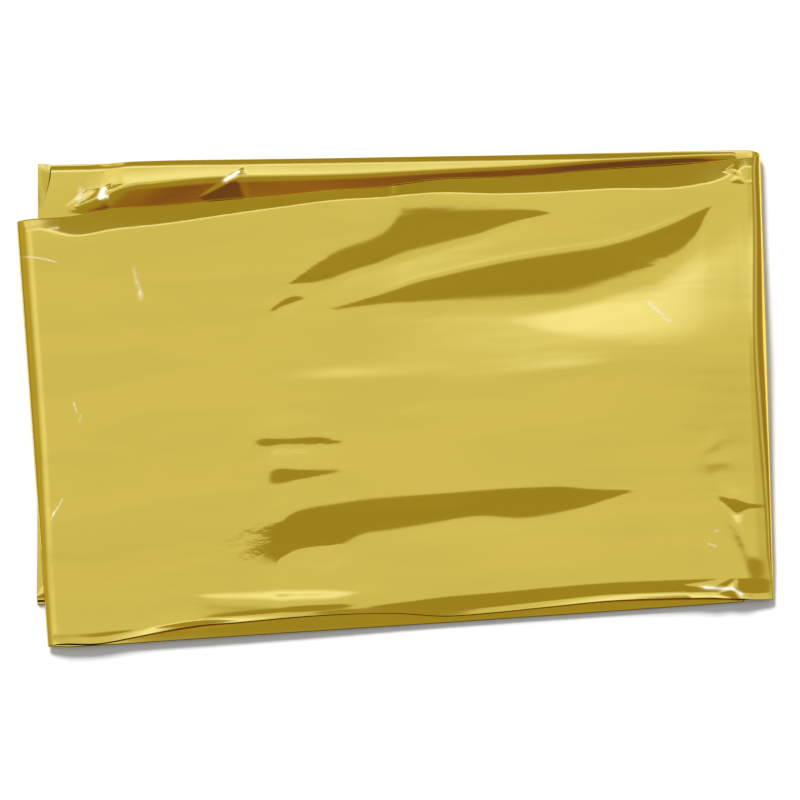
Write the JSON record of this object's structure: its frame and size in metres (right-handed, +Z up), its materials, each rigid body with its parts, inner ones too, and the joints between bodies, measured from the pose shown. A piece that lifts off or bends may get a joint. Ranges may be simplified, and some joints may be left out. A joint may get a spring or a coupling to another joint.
{
  "type": "emergency foil blanket, folded",
  "caption": "Sheet of gold metallised film folded back and forth into a flat, slightly skewed rectangle with soft ridges and an open corner.",
  "frame": {"origin": "middle of the folded pack's footprint, on the surface it lies on", "axes": "+X along the pack's long side towards the closed outer bend, +Y towards the back edge with the raised lip, +Z up"},
  "size_m": [0.4165, 0.2902, 0.0142],
  "materials": {
    "gold_film": "gold metallised mirror film, finely creased"
  },
  "bodies": {
    "root": {"foil_blanket": "gold_film"}
  },
  "joints": []
}
